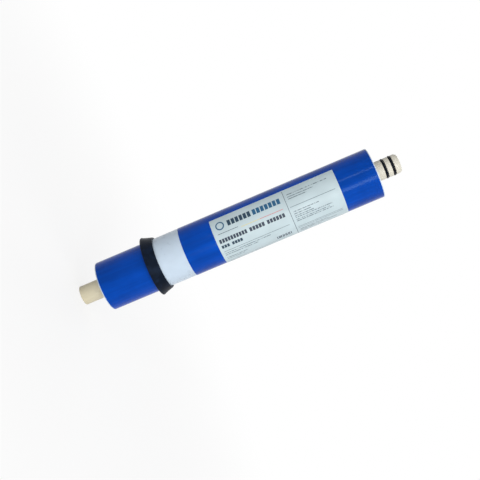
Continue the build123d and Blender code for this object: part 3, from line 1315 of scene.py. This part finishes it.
class ELEMENT_OT_stage(bpy.types.Operator):
    """Lay the floor, hang the lamps and place the camera"""

    bl_idname = "element.stage"
    bl_label = "Stage"

    def execute(self, context):
        settings = context.scene.element_stage
        self.lay_floor(settings)
        self.light_world(context, settings)
        aim = Vector((0, 0, ROLL_TOP / 2))
        self.hang_lamp(context, "key_lamp", *KEY_LAMP, aim, settings.key_power)
        self.hang_lamp(context, "edge_lamp", *EDGE_LAMP, aim, settings.edge_power)
        self.hang_lamp(context, "back_lamp", *BACK_LAMP, aim, settings.back_power)
        self.place_camera(context)
        return {"FINISHED"}

    def lay_floor(self, settings):
        """Pale floor that looks white to the camera and keeps a soft shadow."""
        clear_selection()
        bpy.ops.mesh.primitive_plane_add(size=settings.floor_size)
        floor = bpy.context.object
        floor.name = "floor"
        material, tree, shader = new_finish(
            "floor_look", Base_Color=opaque(FLOOR_COLOUR), Roughness=0.8, Specular_IOR_Level=0.1
        )
        white = add_node(tree, "ShaderNodeEmission", {"Color": (1, 1, 1, 1), "Strength": 1.0}).outputs[0]
        length = add_node(tree, "ShaderNodeVectorMath", {0: object_places(tree)}, operation="LENGTH")
        share = ramp(tree, length.outputs["Value"], *FLOOR_FADE, FLOOR_WHITE_SHARE, 1.0, soft=True)
        seen = maths(tree, "MULTIPLY", self.seen_directly(tree), share)
        blend = add_node(tree, "ShaderNodeMixShader", {0: seen, 1: shader.outputs[0], 2: white}).outputs[0]
        tree.links.new(blend, tree.nodes["Material Output"].inputs["Surface"])
        floor.data.materials.append(material)

    def seen_directly(self, tree):
        """1 for camera, glossy and transmission rays, else 0."""
        path = add_node(tree, "ShaderNodeLightPath").outputs
        either = maths(tree, "MAXIMUM", path["Is Camera Ray"], path["Is Glossy Ray"])
        return maths(tree, "MAXIMUM", either, path["Is Transmission Ray"])

    def light_world(self, context, settings):
        """White where it is seen, and else soft light, mostly from the front and from above."""
        world = bpy.data.worlds.new("studio")
        world.use_nodes = True
        context.scene.world = world
        tree = world.node_tree
        way = add_node(tree, "ShaderNodeTexCoord").outputs["Generated"]
        front = self.glow(tree, way, SKY_FRONT, settings.front_strength)
        above = self.glow(tree, way, AXIS, settings.top_strength)
        sky = maths(tree, "ADD", maths(tree, "ADD", front, above), settings.world_strength)
        inputs = {0: self.seen_directly(tree), 2: sky, 3: 1.0}
        strength = add_node(tree, "ShaderNodeMix", inputs, data_type="FLOAT").outputs[0]
        background = tree.nodes["Background"]
        background.inputs["Color"].default_value = (1, 1, 1, 1)
        tree.links.new(strength, background.inputs["Strength"])

    def glow(self, tree, way, middle, strength):
        """Light that is strongest from one direction and fades out at right angles to it."""
        inputs = {0: way, 1: Vector(middle).normalized()}
        facing = add_node(tree, "ShaderNodeVectorMath", inputs, operation="DOT_PRODUCT").outputs["Value"]
        facing = maths(tree, "MAXIMUM", facing, 0.0)
        return maths(tree, "MULTIPLY", maths(tree, "MULTIPLY", facing, facing), strength)

    def hang_lamp(self, context, name, place, size, aim, power):
        """Soft rectangular lamp that points at the element."""
        lamp = bpy.data.lights.new(name, "AREA")
        lamp.shape = "RECTANGLE"
        lamp.size, lamp.size_y = size
        lamp.energy = power
        holder = bpy.data.objects.new(name, lamp)
        holder.location = place
        holder.rotation_euler = (aim - Vector(place)).to_track_quat("-Z", "Y").to_euler()
        context.scene.collection.objects.link(holder)

    def place_camera(self, context):
        """Camera at the photograph's place, turn and lens."""
        lens = bpy.data.cameras.new("camera")
        lens.lens = CAMERA_LENS
        lens.sensor_width = CAMERA_SENSOR
        lens.clip_start, lens.clip_end = CAMERA_CLIP
        camera = bpy.data.objects.new("camera", lens)
        camera.location = CAMERA_PLACE
        camera.rotation_euler = [math.radians(turn) for turn in CAMERA_TURNS]
        context.scene.collection.objects.link(camera)
        context.scene.camera = camera


OPERATORS = [
    ELEMENT_OT_tube,
    ELEMENT_OT_plug,
    ELEMENT_OT_rings,
    ELEMENT_OT_sleeve,
    ELEMENT_OT_films,
    ELEMENT_OT_seal,
    ELEMENT_OT_label,
    ELEMENT_OT_winding,
    ELEMENT_OT_net_ends,
    ELEMENT_OT_stage,
]


class ELEMENT_PT_panel(bpy.types.Panel):
    """Settings and steps of the filter element"""

    bl_idname = "ELEMENT_PT_panel"
    bl_label = "Filter Element"
    bl_space_type = "VIEW_3D"
    bl_region_type = "UI"
    bl_category = "Filter Element"

    def draw(self, context):
        for name, group in SETTINGS.items():
            box = self.layout.box()
            box.label(text=group.__doc__)
            for key in group.__annotations__:
                box.prop(getattr(context.scene, name), key)
        for operator in OPERATORS:
            self.layout.operator(operator.bl_idname)


def register():
    """Register the settings, the steps and the panel."""
    for name, group in SETTINGS.items():
        bpy.utils.register_class(group)
        setattr(bpy.types.Scene, name, PointerProperty(type=group))
    for shown in (*OPERATORS, ELEMENT_PT_panel):
        bpy.utils.register_class(shown)


def unregister():
    """Take the panel, the steps and the settings away again."""
    for shown in reversed((*OPERATORS, ELEMENT_PT_panel)):
        bpy.utils.unregister_class(shown)
    for name, group in SETTINGS.items():
        delattr(bpy.types.Scene, name)
        bpy.utils.unregister_class(group)


def main():
    """Build every piece around the loaded frame."""
    register()
    scene = bpy.context.scene
    scene.view_settings.view_transform = "Standard"
    bpy.ops.element.tube()
    bpy.ops.element.plug()
    bpy.ops.element.rings()
    bpy.ops.element.sleeve()
    bpy.ops.element.films()
    bpy.ops.element.seal()
    bpy.ops.element.label()
    bpy.ops.element.winding()
    bpy.ops.element.net_ends()
    bpy.ops.element.stage()
    clear_selection()


if __name__ == "__main__":
    main()
